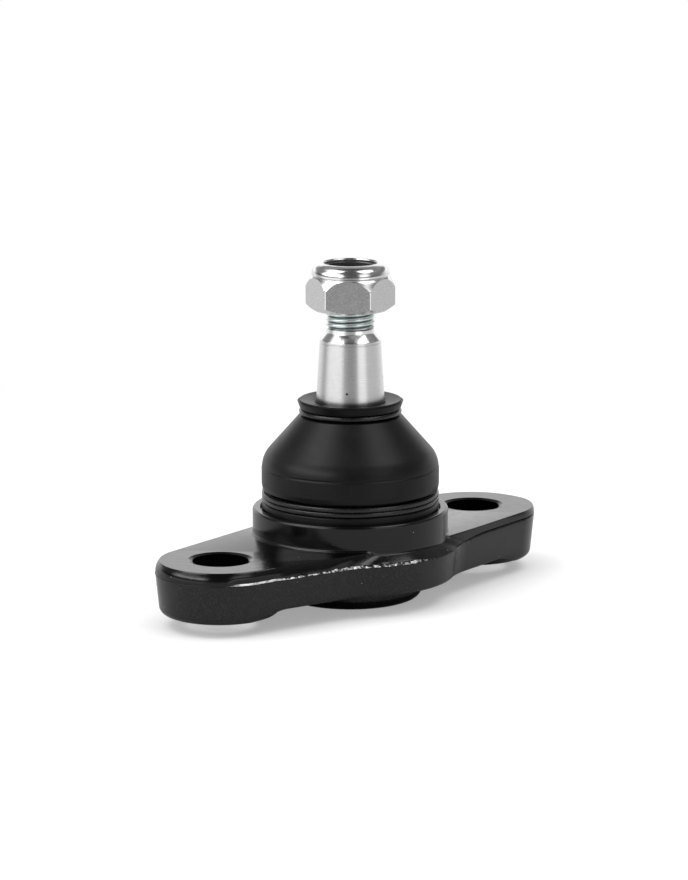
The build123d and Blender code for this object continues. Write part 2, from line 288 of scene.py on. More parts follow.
def lathe(name, outline, segments=256, centre=(0, 0), closed=True):
    """Turns an outline of (radius, height) about a vertical axis. Points on the axis become one point."""
    points = []
    faces = []
    rows = []
    for radius, height in outline:
        if radius < 1e-6:
            rows.append([len(points)] * segments)
            points.append((centre[0], centre[1], height))
            continue
        rows.append(list(range(len(points), len(points) + segments)))
        for step in range(segments):
            angle = TURN * step / segments
            points.append((centre[0] + radius * cos(angle), centre[1] + radius * sin(angle), height))
    pairs = list(zip(rows, rows[1:]))
    if closed and outline[0][0] > 1e-6:
        pairs.append((rows[-1], rows[0]))
    for low, high in pairs:
        for step in range(segments):
            after = (step + 1) % segments
            corners = []
            for corner in (low[step], low[after], high[after], high[step]):
                if corner not in corners:
                    corners.append(corner)
            if len(corners) > 2:
                faces.append(corners)
    return mesh_object(name, points, faces)


def combine(base, others, operation):
    """Joins or cuts a solid with others by exact booleans, and leaves plain mesh."""
    for other in others:
        modifier = base.modifiers.new("boolean", "BOOLEAN")
        modifier.operation = operation
        modifier.solver = "EXACT"
        modifier.object = other
    bpy.context.view_layer.update()
    evaluated = base.evaluated_get(bpy.context.evaluated_depsgraph_get())
    mesh = bpy.data.meshes.new_from_object(evaluated)
    base.modifiers.clear()
    base.data = mesh
    for other in others:
        bpy.data.objects.remove(other)
    return base


def smooth(piece, sharp=30):
    """Smooth shading with edges sharper than an angle kept, and flat faces kept flat."""
    mesh = piece.data
    mesh.polygons.foreach_set("use_smooth", [True] * len(mesh.polygons))
    mesh.set_sharp_from_angle(angle=radians(sharp))
    modifier = piece.modifiers.new("normals", "WEIGHTED_NORMAL")
    modifier.keep_sharp = True
    return piece


def ease(value, low, high):
    """Smooth step from 0 at low to 1 at high."""
    share = max(0.0, min(1.0, (value - low) / (high - low)))
    return share * share * (3 - 2 * share)


# ---------------------------------------------------------------- forging

Station = namedtuple("Station", "x y nx ny dx dy parting rise")


def flange_outline(lobe, flank, centre):
    """An outline of the flange seen from above, anticlockwise, as (x, y, nx, ny).

    Every outline has its points in the same order, so one can be drawn on to another.
    """
    lobe_steps, flank_steps, blend_steps, centre_steps = OUTLINE_STEPS
    slope = asin((flank - lobe) / BOLT_X)
    normal = Vector((sin(slope), cos(slope)))
    along = Vector((cos(slope), -sin(slope)))
    reach = flank + FLANK_BLEND
    hollow = normal * reach + along * sqrt((centre + FLANK_BLEND) ** 2 - reach ** 2)
    flank_start = Vector((BOLT_X, 0)) + normal * lobe
    flank_end = hollow - normal * FLANK_BLEND
    quarter = []

    def arc(middle, radius, first, last, steps, sign):
        for step in range(steps):
            angle = first + (last - first) * step / steps
            ray = Vector((cos(angle), sin(angle)))
            place = Vector(middle) + ray * radius
            quarter.append((place.x, place.y, sign * ray.x, sign * ray.y))

    arc((BOLT_X, 0), lobe, 0, pi / 2 - slope, lobe_steps, 1)
    for step in range(flank_steps):
        place = flank_start.lerp(flank_end, step / flank_steps)
        quarter.append((place.x, place.y, normal.x, normal.y))
    arc(hollow, FLANK_BLEND, atan2(-normal.y, -normal.x), atan2(-hollow.y, -hollow.x), blend_steps, -1)
    arc((0, 0), centre, atan2(hollow.y, hollow.x), pi / 2, centre_steps, 1)
    quarter.append((0, centre, 0, 1))
    half = quarter + [(-x, y, -nx, ny) for x, y, nx, ny in reversed(quarter[1:-1])]
    half.append((-quarter[0][0], 0, -1, 0))
    return half + [(x, -y, nx, -ny) for x, y, nx, ny in reversed(half[1:-1])]


def ragged(x, y, size, seed):
    """Smooth noise along the parting line, from -1 to 1."""
    return noise.noise(Vector((x / size, y / size, seed)))


def flange_stations():
    """Places round the parting line, each with its normal, draw to the top edge, height and rise.

    rise is 1 where the parting line runs high, along the front of the right-hand lobe and flank.
    """
    parting = flange_outline(LOBE_RADIUS, FLANK_RADIUS, CENTRE_RADIUS)
    top = flange_outline(LOBE_RADIUS - LOBE_DRAW, FLANK_RADIUS - LOBE_DRAW, CENTRE_RADIUS - CENTRE_DRAW)
    stations = []
    for (x, y, nx, ny), (top_x, top_y, _, _) in zip(parting, top):
        rise = ease(x, *HIGH_ALONG) * ease(y, *HIGH_ACROSS)
        keep = 1 - 0.65 * rise
        sway = 0.12 * ragged(x, y, 5.0, 5) + 0.10 * ragged(x, y, 1.3, 6)
        height = PARTING + HIGH_PARTING * rise + sway
        stations.append(Station(x, y, nx, ny, (top_x - x) * keep, (top_y - y) * keep, height, rise))
    return stations


def flange_point(at, inset, height, drawn=0):
    """A station's point at a height, drawn towards the top edge by a share and then moved in."""
    return at.x + at.dx * drawn - at.nx * inset, at.y + at.dy * drawn - at.ny * inset, height


def top_edge_point(at, share):
    """On the top edge's rounding, from 0 where it lies flat to 1 where the shoulder starts."""
    turn = radians(62) * share
    return flange_point(at, TOP_ROUNDING * (1 - sin(turn)), FLANGE_TOP - TOP_ROUNDING * (1 - cos(turn)), 1)


def facet(x):
    """Width and height of the sloping ledge that the trimmed flash leaves, and how uneven it is.

    It is even along the left-hand end, thin up to the round middle and lumpy on it. It runs out
    round the left-hand lobe and past the round middle.
    """
    calm = ease(x, *EVEN_FLASH)
    size = 1.0 - 0.4 * ease(x, *THIN_FLASH)
    size += (0.74 - size) * calm
    size *= (1 - ease(x, *FLASH_END)) * ease(x, *FLASH_START)
    return FLASH_FACET[0] * size, FLASH_FACET[1] * size, 1 - 0.65 * calm


def shoulder_point(at, share):
    """On the shoulder, from 0 at the top edge to 1 at the ledge."""
    width, height, _ = facet(at.x)
    start = FLANGE_TOP - TOP_ROUNDING * 0.5
    end = PARTING + HIGH_PARTING * at.rise + height + 0.10 + 0.22 * at.rise
    crown = sin(pi * share) * (0.06 + 0.24 * ease(abs(at.x), 44, 52)) * (1 - 0.5 * at.rise)
    inset = (width + 0.10) * share - crown
    return flange_point(at, inset, start + (end - start) * share + 0.5 * crown, 1 - share)


def ledge_point(at, share, sink):
    """On the sloping ledge, from 0 at the shoulder to 1 at the flash's crest."""
    width, height, uneven = facet(at.x)
    width *= 1 + uneven * (0.35 * ragged(at.x, at.y, 3.3, 1) + 0.45 * ragged(at.x, at.y, 0.9, 2))
    height *= 1 + uneven * (0.30 * ragged(at.x, at.y, 2.7, 3) + 0.35 * ragged(at.x, at.y, 0.8, 4))
    inset = width * (1 - share) + 0.04 + sink * (1 + 4 * at.rise)
    return flange_point(at, inset, at.parting + height * (1 - share) - sink * (1 - 2 * at.rise))


def flash_point(at, inset, drop):
    """On the flash's crest or on the undercut below it."""
    return flange_point(at, inset, at.parting - drop)


def under_edge(x):
    """Height of the underside and size of its rounding: down at the pads, up along the web."""
    pad = ease(abs(x), BOLT_X - 8.0, BOLT_X + 3.5)
    return WEB_BOTTOM + (PAD_BOTTOM - WEB_BOTTOM) * pad, WEB_EDGE + (PAD_EDGE - WEB_EDGE) * pad


def wall_point(at, share):
    """On the drafted wall, from 0 below the flash to 1 above the bottom rounding."""
    low, edge = under_edge(at.x)
    high = at.parting - FLASH_DROP
    height = high + (low + edge - high) * share
    dent = 0.015 * ragged(at.x, at.y, 3, height / 3)
    return flange_point(at, FLASH_RIDGE + (PARTING - height) * DRAFT + dent, height)


def foot_point(at, turn):
    """On the bottom rounding, turn in radians from the wall round to flat."""
    low, edge = under_edge(at.x)
    inset = FLASH_RIDGE + (PARTING - low - edge) * DRAFT + edge * (1 - cos(turn))
    return flange_point(at, inset, low + edge * (1 - sin(turn)))


def under_point(at):
    """On the web's underside, inside every rounding."""
    return flange_point(at, FLASH_RIDGE + (PARTING - WEB_BOTTOM) * DRAFT + PAD_EDGE + 3.4, WEB_BOTTOM)


def forged_skin():
    """The flange as forged: rounded top edge, uneven shoulder, trimmed flash, drafted wall and pads."""
    stations = flange_stations()
    rings = []

    def ring(place, *settings):
        rings.append([place(at, *settings) for at in stations])

    for step in range(4):
        ring(top_edge_point, step / 4)
    for step in range(9):
        ring(shoulder_point, step / 8)
    worn = range(len(rings), len(rings) + 4)
    ring(ledge_point, 0.0, 0.06)
    ring(ledge_point, 0.08, 0.0)
    ring(ledge_point, 0.5, -0.01)
    ring(ledge_point, 0.92, 0.0)
    ring(flash_point, 0.0, 0.04)
    ring(flash_point, 0.02, 0.12)
    ring(flash_point, FLASH_RIDGE + 0.03, 0.24)
    for step in range(9):
        ring(wall_point, step / 8)
    for step in range(1, 7):
        ring(foot_point, pi / 2 * step / 6)
    ring(under_point)
    count = len(stations)
    points = [point for row in rings for point in row]
    faces = [list(range(count))]
    slots = [0]
    for row in range(len(rings) - 1):
        for step in range(count):
            here = row * count + step
            beside = row * count + (step + 1) % count
            faces.append([here, beside, beside + count, here + count])
            slots.append(1 if row in worn and FLASH_START[0] < stations[step].x < FLASH_END[1] - 1 else 0)
    faces.append(list(range((len(rings) - 1) * count, len(rings) * count)))
    skin = mesh_object("forged_housing", points, faces, slots + [0])
    skin.data.materials.append(coated_forging())
    skin.data.materials.append(worn_flash())
    return skin


def round_middle(skin):
    """The round middle with its recess and neck. Its foot is filleted into whatever lies round it."""
    tree = BVHTree.FromPolygons(
        [vertex.co / MM for vertex in skin.data.vertices], [tuple(p.vertices) for p in skin.data.polygons]
    )
    segments = 256
    steps = 6
    overhead = 40.0
    buried = FLANGE_TOP - 2
    below = rounded([(0, 0), (CUP_RADIUS, 0, 2.8), (CUP_RADIUS, buried)], closed=False)
    above = rounded([
        (BOSS_RADIUS, FLANGE_TOP), (BOSS_RADIUS, BOSS_TOP, 0.8), (RECESS_RADIUS, BOSS_TOP, 0.35),
        (RECESS_RADIUS, RECESS_FLOOR, 0.3), (GROOVE_RADIUS, RECESS_FLOOR), (GROOVE_RADIUS, GROOVE_TOP),
        (NECK_RADIUS, GROOVE_TOP, 0.2), (NECK_RADIUS, NECK_LIP_TOP), (NECK_RADIUS - 1.3, NECK_TOP),
        (0, NECK_TOP),
    ], closed=False)[1:]

    def skin_top(angle, radius):
        start = Vector((radius * cos(angle), radius * sin(angle), overhead))
        return tree.ray_cast(start, Vector((0, 0, -1)))[0].z

    points = []
    for step in range(segments):
        angle = TURN * step / segments
        steep = ease(FLANGE_TOP - skin_top(angle, BOSS_RADIUS + 0.4), 0.05, 0.5)
        size = BOSS_FOOT * (1 - 0.6 * steep)
        fillet = [(BOSS_RADIUS + size, buried)]
        for part in range(steps + 1):
            turn = pi / 2 * part / steps
            radius = BOSS_RADIUS + size * (1 - sin(turn))
            fillet.append((radius, skin_top(angle, radius) - 0.015 + size * (1 - cos(turn))))
        points += [(r * cos(angle), r * sin(angle), z) for r, z in below + fillet + above]
    count = len(points) // segments
    faces = []
    for step in range(segments):
        after = (step + 1) % segments
        for part in range(count - 1):
            here = step * count + part
            beside = after * count + part
            faces.append([here, here + 1, beside + 1, beside])
    return mesh_object("middle", points, faces)


def make_housing():
    """Forged flange joined to its pads and round middle, then bored."""
    skin = forged_skin()
    middle = round_middle(skin)
    pads = []
    holes = []
    pad_face = PAD_BOTTOM - PAD_PROUD
    wide = HOLE_RADIUS + HOLE_ROUNDING + 1
    for x in (-BOLT_X, BOLT_X):
        pads.append(lathe("pad", rounded([
            (0, pad_face), (PAD_RADIUS, pad_face, PAD_EDGE),
            (PAD_RADIUS, WEB_BOTTOM + 2), (0, WEB_BOTTOM + 2),
        ], closed=False), 128, (x, 0)))
        holes.append(lathe("hole", rounded([
            (0, PAD_BOTTOM - 2), (wide, PAD_BOTTOM - 2), (wide, pad_face),
            (HOLE_RADIUS, pad_face, HOLE_ROUNDING), (HOLE_RADIUS, FLANGE_TOP, HOLE_ROUNDING),
            (wide, FLANGE_TOP), (wide, FLANGE_TOP + 2), (0, FLANGE_TOP + 2),
        ], closed=False), 128, (x, 0)))
    socket = lathe("socket", rounded([
        (0, -1), (RIM_BORE, -1), (RIM_BORE, 0.0), (RIM_BORE, RIM_THICKNESS, 0.3),
        (COVER_RADIUS, RIM_THICKNESS), (COVER_RADIUS, COVER_TOP), (SEAT_RADIUS, COVER_TOP),
        (SEAT_RADIUS, SEAT_CONE[0]), (MOUTH_RADIUS, SEAT_CONE[1]), (MOUTH_RADIUS, MOUTH_TOP),
        (MOUTH_WIDE, NECK_TOP), (MOUTH_WIDE, NECK_TOP + 1), (0, NECK_TOP + 1),
    ], closed=False))
    combine(skin, pads + [middle], "UNION")
    combine(skin, holes + [socket], "DIFFERENCE")
    smooth(skin, 28)
    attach(skin, "housing")
    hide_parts("housing")


# ---------------------------------------------------------------- boot and rings

def boot_outline():
    """The boot's section, from the bead's inner foot up the outside and down the inside."""
    lean = (BOOT_RADIUS - CREASE_STEP, CREASE + CREASE_HEIGHT)
    cone_run = (SHOULDER_RADIUS - CONE_TOP_RADIUS) / (CONE_TOP - SHOULDER)
    turn = atan2(cone_run, 1) - atan2(lean[0] - SHOULDER_RADIUS, SHOULDER - lean[1])
    shoulder_rounding = 0.97 * (SHOULDER - lean[1]) / tan(turn / 2)
    seal = TAPER_RADIUS + BOOT_FIT
    wall = BOOT_RADIUS - BOOT_WALL
    waist = NECK_RADIUS + 0.6
    clamp = CLAMP_INNER - BOOT_FIT
    outside = [
        (GROOVE_RADIUS + BOOT_FIT, BEAD_BOTTOM), (BEAD_RADIUS, BEAD_BOTTOM, 0.5),
        (BEAD_RADIUS, CLAMP_BOTTOM - BOOT_FIT, 0.5), (clamp, CLAMP_BOTTOM - BOOT_FIT, 0.15),
        (clamp, CLAMP_TOP - 0.1, 0.1), (waist, CLAMP_TOP + 0.1, 0.1),
        (waist, BOOT_BOTTOM, 0.1), (BOOT_RADIUS - 0.25, BOOT_BOTTOM, 0.2),
        (BOOT_RADIUS, BOOT_BOTTOM + 1.3, 3.0), (BOOT_RADIUS, CREASE - 0.3, 0.5),
        (BOOT_RADIUS - 0.3, CREASE, 0.2), (*lean, 0.4),
        (SHOULDER_RADIUS, SHOULDER, shoulder_rounding), (CONE_TOP_RADIUS, CONE_TOP, 0.35),
        (RING_GROOVE_RADIUS, RING_GROOVE[0], 0.2), (RING_GROOVE_RADIUS, RING_GROOVE[1], 0.2),
        (LIP_FOOT_RADIUS, RING_GROOVE[1], 0.3), (LIP_RADIUS, LIP_TOP, 0.35),
    ]
    inside = [
        (LIP_RADIUS - 0.8, LIP_TOP, 0.3), (seal + 1.0, LIP_TOP - 0.5, 1.0), (seal, LIP_TOP - 0.85, 0.25),
        (seal, BUSH_TOP + BOOT_FIT), (BUSH_RADIUS + BOOT_FIT, BUSH_TOP + BOOT_FIT),
        (BUSH_RADIUS + BOOT_FIT, CONE_INSIDE[1]), (*CONE_INSIDE, 0.8), (wall, WALL_INSIDE_TOP, 2.0),
        (wall, NECK_LIP_TOP + BOOT_FIT), (NECK_RADIUS + BOOT_FIT, NECK_LIP_TOP),
        (NECK_RADIUS + BOOT_FIT, GROOVE_TOP - BOOT_FIT), (GROOVE_RADIUS + BOOT_FIT, GROOVE_TOP - BOOT_FIT),
    ]
    return rounded(outside + inside, steps=10)


def subdivided(outline, longest):
    """The outline with its long stretches divided, so that it bends smoothly."""
    points = []
    for here, after in zip(outline, outline[1:] + outline[:1]):
        along = after[0] - here[0]
        up = after[1] - here[1]
        parts = max(1, round(hypot(along, up) / longest))
        points += [(here[0] + along * part / parts, here[1] + up * part / parts) for part in range(parts)]
    return points


def make_boot():
    boot = lathe("rubber_boot", subdivided(boot_outline(), 0.9), 256)
    smooth(boot, 38)
    boot.data.materials.append(boot_rubber())
    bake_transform(boot)
    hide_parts("dust_boot")


def wire_ring(name, inner, outer, bottom, top, turns, rounding, start):
    """Ring coiled from flat wire. Each turn lies flat and jogs up to the next over a short stretch."""
    height = (top - bottom) / turns - WIRE_GAP
    pitch = (top - bottom - height) / (turns - 1) if turns > 1 else 0
    jog = radians(16)
    gap = radians(1.2)
    steps = 240 * turns
    section = rounded([
        (inner, 0, rounding), (outer, 0, rounding), (outer, height, rounding), (inner, height, rounding),
    ], steps=4)
    points = []
    for step in range(steps + 1):
        angle = (TURN * turns - gap) * step / steps
        turn = floor(angle / TURN)
        level = turn + (ease(angle - turn * TURN, TURN - jog, TURN) if turn < turns - 1 else 0)
        for radius, z in section:
            place = start + angle
            points.append((radius * cos(place), radius * sin(place), bottom + pitch * level + z))
    count = len(section)
    faces = [list(range(count)), list(range(steps * count, (steps + 1) * count))]
    for step in range(steps):
        for part in range(count):
            here = step * count + part
            beside = step * count + (part + 1) % count
            faces.append([here, beside, beside + count, here + count])
    ring = mesh_object(name, points, faces)
    smooth(ring, 35)
    ring.data.materials.append(ring_steel())
    return ring


def make_rings():
    lower = wire_ring(
        "lower_wire_ring", CLAMP_INNER, CLAMP_RADIUS, CLAMP_BOTTOM, CLAMP_TOP,
        turns=2, rounding=0.35, start=radians(60),
    )
    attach(lower, "housing")
    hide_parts("lower_clamp_ring")
    upper = wire_ring(
        "upper_wire_ring", RING_GROOVE_RADIUS + BOOT_FIT, UPPER_RING_RADIUS,
        RING_GROOVE[0] + BOOT_FIT, RING_GROOVE[1] - BOOT_FIT, turns=1, rounding=0.6, start=radians(20),
    )
    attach(upper, "boot_collar")
    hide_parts("upper_clamp_ring")


# ---------------------------------------------------------------- stud

def stud_outline():
    """The stud's section without its thread, from the ball's flat up to the thread's foot."""
    steps = 48
    low = asin(-(BALL_RADIUS - BALL_FLAT) / BALL_RADIUS)
    high = acos(STUD_ROOT / BALL_RADIUS)
    points = [(0, BALL_HEIGHT - BALL_RADIUS + BALL_FLAT)]
    for step in range(steps + 1):
        angle = low + (high - low) * step / steps
        points.append((BALL_RADIUS * cos(angle), BALL_HEIGHT + BALL_RADIUS * sin(angle)))
    ball_top = points[-1][1]
    taper_slope = (TAPER_RADIUS - TAPER_TOP_RADIUS) / (TAPER_TOP - LIP_TOP)
    points += rounded([
        (STUD_ROOT, ball_top), (STUD_NECK, ball_top + 1.8, 1.5), (STUD_NECK, FLARE[0], 4.0),
        (BOOT_SEAT, FLARE[1], 2.0), (BOOT_SEAT, BUSH_TOP, 0.3),
        (TAPER_RADIUS + (LIP_TOP - BUSH_TOP) * taper_slope, BUSH_TOP), (TAPER_RADIUS, LIP_TOP),
        *((TAPER_TOP_RADIUS + out, TAPER_TOP - depth) for depth, out in TAPER_GROOVE),
        (TAPER_TOP_RADIUS, TAPER_TOP, 0.25), (RELIEF_RADIUS, BEVEL_TOP, 0.3),
        (RELIEF_RADIUS, THREAD_START, 0.1), (THREAD_ROOT, THREAD_START + 0.1), (0, THREAD_START + 0.1),
    ], steps=5, closed=False)[1:]
    return points


def thread(low, high, root, crest, pitch, columns):
    """A right-hand external thread with rounded crests, faded out at its lower end and chamfered on top."""
    profile = [
        (0.0, 0.0), (0.08, 0.22), (0.24, 0.74), (0.38, 0.95),
        (0.5, 1.0), (0.62, 0.95), (0.76, 0.74), (0.92, 0.22),
    ]
    spare = 0.35
    end = crest - 1.0
    per_turn = len(profile)
    rows = (int((high - low) / pitch) + 3) * per_turn
    points = []
    for column in range(columns + 1):
        share = column / columns
        for row in range(rows):
            place, ridge = profile[row % per_turn]
            z = low + pitch * (row // per_turn + place + share - 2)
            fade = ease(z, low, low + pitch * 0.5)
            radius = root + (crest - root) * ridge * fade
            radius = min(radius, crest + spare - max(0.0, z - (high - THREAD_CHAMFER)))
            z = max(low, min(high, z))
            if z in (low, high):
                radius = root if z == low else end
            points.append((radius * cos(TURN * share), radius * sin(TURN * share), z))
    faces = []
    for column in range(columns):
        for row in range(rows - 1):
            here = column * rows + row
            faces.append([here, here + rows, here + rows + 1, here + 1])
    return points, faces


def make_stud():
    """Ball, neck, taper and thread. The thread's grid follows its helix, so that its crests stay crisp."""
    shank = lathe("tapered_stud", stud_outline(), 256)
    for made in (ground_steel(), polished_steel()):
        shank.data.materials.append(made)
    for polygon in shank.data.polygons:
        polygon.material_index = 1 if polygon.center.z / MM > TAPER_TOP - 0.1 else 0
    points, faces = thread(THREAD_START - 0.1, THREAD_END, THREAD_ROOT, THREAD_RADIUS, PITCH, 120)
    threaded = mesh_object("stud_thread", points, faces)
    clean(threaded.data, 2e-6, close=True)
    threaded.data.materials.append(zinc_thread())
    for piece in (shank, threaded):
        smooth(piece, 32)
        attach(piece, "stud")
    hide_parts("ball_stud")


# ---------------------------------------------------------------- nut

def hexagon():
    """The nut's hexagon with rounded upright edges."""
    centre = (NUT_FLATS / 2 - NUT_EDGE) / cos(radians(30))
    plan = []
    for step in range(6):
        angle = NUT_TURNED + TURN * step / 6
        for turn in (-30, -10, 10, 30):
            out = angle + radians(turn)
            x = centre * cos(angle) + NUT_EDGE * cos(out)
            y = centre * sin(angle) + NUT_EDGE * sin(out)
            plan.append((x, y))
    count = len(plan)
    points = [(x, y, height) for height in (NUT_BOTTOM, HEX_TOP) for x, y in plan]
    faces = [list(range(count)), list(range(count, 2 * count))]
    for step in range(count):
        after = (step + 1) % count
        faces.append([step, after, after + count, step + count])
    return mesh_object("nyloc_nut", points, faces)


def turned_envelope():
    """What turning leaves of the hexagon: a cone below its corners and a curved chamfer above them."""
    steps = 8
    spare = 0.001
    outer = NUT_FLATS / 2 / cos(radians(30)) + 0.6
    reach = outer - NUT_WASHER
    outline = [
        (0, NUT_BOTTOM - spare), (NUT_FOOT, NUT_BOTTOM - spare),
        (outer, NUT_BOTTOM + (outer - NUT_FOOT) * NUT_BOTTOM_CHAMFER),
    ]
    for step in range(steps, 0, -1):
        drop = reach * NUT_TOP_CHAMFER * (step / steps) ** NUT_TOP_CURVE
        outline.append((NUT_WASHER + reach * step / steps, HEX_TOP - drop))
    outline += [(NUT_WASHER, HEX_TOP + spare), (0, HEX_TOP + spare)]
    return lathe("envelope", outline, 192)


def make_nut():
    """Hexagon with turned corners, and a collar rolled in over the insert."""
    nut = hexagon()
    combine(nut, [turned_envelope()], "INTERSECT")
    insert_top = INSERT_TOP + INSERT_CLEARANCE
    waist = NUT_WASHER - 0.2
    collar = lathe("collar", rounded([
        (COLLAR_OPENING - 2, HEX_TOP - 2), (waist, HEX_TOP - 2), (waist, HEX_TOP + 0.1, 0.15),
        (COLLAR_RADIUS, HEX_TOP + 0.35, 0.2), (COLLAR_RADIUS, NUT_TOP, 3.3), (COLLAR_OPENING, NUT_TOP, 0.5),
        (COLLAR_OPENING, insert_top), (COLLAR_OPENING - 2, insert_top),
    ], steps=14), 256)
    bore = THREAD_RADIUS + BORE_CLEARANCE
    groove = INSERT_RADIUS + INSERT_CLEARANCE
    insert_bottom = INSERT_BOTTOM - INSERT_CLEARANCE
    space = lathe("space", rounded([
        (0, NUT_BOTTOM - 1), (bore + BORE_CHAMFER, NUT_BOTTOM - 1), (bore + BORE_CHAMFER, NUT_BOTTOM),
        (bore, NUT_BOTTOM + BORE_CHAMFER), (bore, insert_bottom), (groove, insert_bottom),
        (groove, insert_top), (COLLAR_OPENING, insert_top), (COLLAR_OPENING, NUT_TOP + 1), (0, NUT_TOP + 1),
    ], closed=False), 256)
    combine(nut, [collar], "UNION")
    combine(nut, [space], "DIFFERENCE")
    for made in (nut_face(), polished_steel(), collar_chrome()):
        nut.data.materials.append(made)
    for polygon in nut.data.polygons:
        height = polygon.center.z / MM
        facing = (atan2(polygon.normal.y, polygon.normal.x) - NUT_TURNED) % (pi / 3)
        flat = abs(polygon.normal.z) < 0.02 and abs(facing - pi / 6) < radians(3)
        outside = hypot(polygon.center.x, polygon.center.y) / MM > NUT_FLATS / 2 - 0.1
        polygon.material_index = 2 if height > HEX_TOP + 0.02 else (0 if flat and outside else 1)
    smooth(nut, 30)
    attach(nut, "nut")
    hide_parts("lock_nut")


# ---------------------------------------------------------------- materials

def add(tree, kind, inputs=(), **settings):
    """A node with its settings, its constants and its links from other nodes' outputs."""
    made = tree.nodes.new(kind)
    for name, value in settings.items():
        setattr(made, name, value)
    for name, value in dict(inputs).items():
        if isinstance(value, bpy.types.NodeSocket):
            tree.links.new(value, made.inputs[name])
        else:
            made.inputs[name].default_value = value
    return made


def surface(name, **values):
    """A Principled material with constants set, its tree and its object coordinates in metres."""
    made = bpy.data.materials.new(name)
    made.use_nodes = True
    tree = made.node_tree
    shader = tree.nodes["Principled BSDF"]
    for key, value in values.items():
        shader.inputs[key.replace("_", " ")].default_value = value
    place = add(tree, "ShaderNodeTexCoord").outputs["Object"]
    return made, tree, place


def grain(tree, place, size, detail=2, stretch=None):
    """Noise with features of about size millimetres, and optionally stretched along the axes."""
    if stretch:
        place = add(tree, "ShaderNodeMapping", {"Vector": place, "Scale": stretch}).outputs["Vector"]
    made = add(tree, "ShaderNodeTexNoise", {"Vector": place, "Scale": 1 / (size * MM), "Detail": detail})
    return made.outputs["Fac"]


def ramp(tree, value, start, end, low=0.0, high=1.0, kind="SMOOTHSTEP"):
    """Maps start to end onto low to high. It is clamped, and eased unless kind is LINEAR."""
    return add(tree, "ShaderNodeMapRange", {
        "Value": value, "From Min": start, "From Max": end, "To Min": low, "To Max": high,
    }, interpolation_type=kind).outputs["Result"]


def spread(tree, value, low, high, start=0.3, end=0.7):
    """Maps a noise's middle range onto low to high."""
    return ramp(tree, value, start, end, low, high, "LINEAR")


def blend_colours(tree, factor, first, second):
    """A colour between two, each an output or RGBA numbers."""
    return add(tree, "ShaderNodeMix", {"Factor": factor, 6: first, 7: second}, data_type="RGBA").outputs[2]


def tint(tree, factor, dark, light):
    """A colour between two greys or RGB triples."""
    ends = [(*value, 1) if isinstance(value, tuple) else (value, value, value, 1) for value in (dark, light)]
    return blend_colours(tree, factor, *ends)


def finished(made, colour, roughness, layers):
    """The material with its colour, its roughness and its bumps, each (output, depth in millimetres)."""
    tree = made.node_tree
    shader = tree.nodes["Principled BSDF"]
    tree.links.new(colour, shader.inputs["Base Color"])
    tree.links.new(roughness, shader.inputs["Roughness"])
    normal = None
    for height, depth in layers:
        inputs = {"Height": height, "Distance": depth * MM, "Strength": 1.0}
        if normal:
            inputs["Normal"] = normal
        normal = add(tree, "ShaderNodeBump", inputs).outputs["Normal"]
    tree.links.new(normal, shader.inputs["Normal"])
    return made


def compute(tree, operation, first, second):
    return add(tree, "ShaderNodeMath", {0: first, 1: second}, operation=operation).outputs[0]


def multiply(tree, first, second):
    return compute(tree, "MULTIPLY", first, second)


def vector_length(tree, vector):
    return add(tree, "ShaderNodeVectorMath", {0: vector}, operation="LENGTH").outputs["Value"]


def ramp_along(tree, place, axis, start, end, low=0.0, high=1.0, kind="SMOOTHSTEP"):
    """A ramp along one axis of the object, between two places in millimetres."""
    value = add(tree, "ShaderNodeSeparateXYZ", {"Vector": place}).outputs[axis]
    return ramp(tree, value, start * MM, end * MM, low, high, kind)


def specks(tree, place, spacing, radius, share):
    """1 inside sparse round specks, of that radius in millimetres, and 0 elsewhere."""
    cells = add(tree, "ShaderNodeTexVoronoi", {"Vector": place, "Scale": 1 / (spacing * MM)})
    near = compute(tree, "LESS_THAN", cells.outputs["Distance"], radius / spacing)
    chosen = add(tree, "ShaderNodeSeparateColor", {"Color": cells.outputs["Color"]}).outputs[0]
    return multiply(tree, near, compute(tree, "LESS_THAN", chosen, share))


def coated_forging():
    """Satin black dip coat over a forging: smooth on machined faces, beaten on the shoulder band."""
    made, tree, place = surface("coated_forging", IOR=1.5, Specular_IOR_Level=0.46)
    rise = ramp_along(tree, place, "Z", PARTING + 0.5, PARTING + 1.1)
    fall = ramp_along(tree, place, "Z", FLANGE_TOP - 0.5, FLANGE_TOP - 0.05, 1.0, 0.0)
    band = multiply(tree, rise, fall)
    fine = grain(tree, place, 0.30, 3)
    soft = grain(tree, place, 2.4, 4)
    coarse = grain(tree, place, 0.8, 4)
    wall = ramp_along(tree, place, "Z", PARTING - 0.2, PARTING - 0.5, 0.0, 0.016, "LINEAR")
    mottle = multiply(tree, spread(tree, grain(tree, place, 0.5, 4), 0, 1, 0.42, 0.68), wall)
    dust = multiply(tree, specks(tree, place, 3.4, 0.14, 0.45), 0.30)
    shade = compute(tree, "ADD", mottle, dust)
    beaten = multiply(tree, coarse, band)
    return finished(
        made, tint(tree, shade, 0.001, 1.0), spread(tree, soft, 0.13, 0.20),
        [(fine, 0.006), (soft, 0.010), (beaten, 0.022)],
    )


def worn_flash():
    """Trimmed flash where the coat is thin and the steel shines through in places."""
    made, tree, place = surface("worn_flash", Metallic=1.0)
    fine = grain(tree, place, 0.5, 3)
    patches = spread(tree, grain(tree, place, 1.1, 3), 0, 1, 0.44, 0.54)
    rubbed = ramp_along(tree, place, "X", *RUBBED_FLASH, kind="LINEAR")
    bare = compute(tree, "MAXIMUM", patches, rubbed)
    return finished(made, tint(tree, bare, 0.03, 0.38), spread(tree, fine, 0.20, 0.30), [(fine, 0.02)])


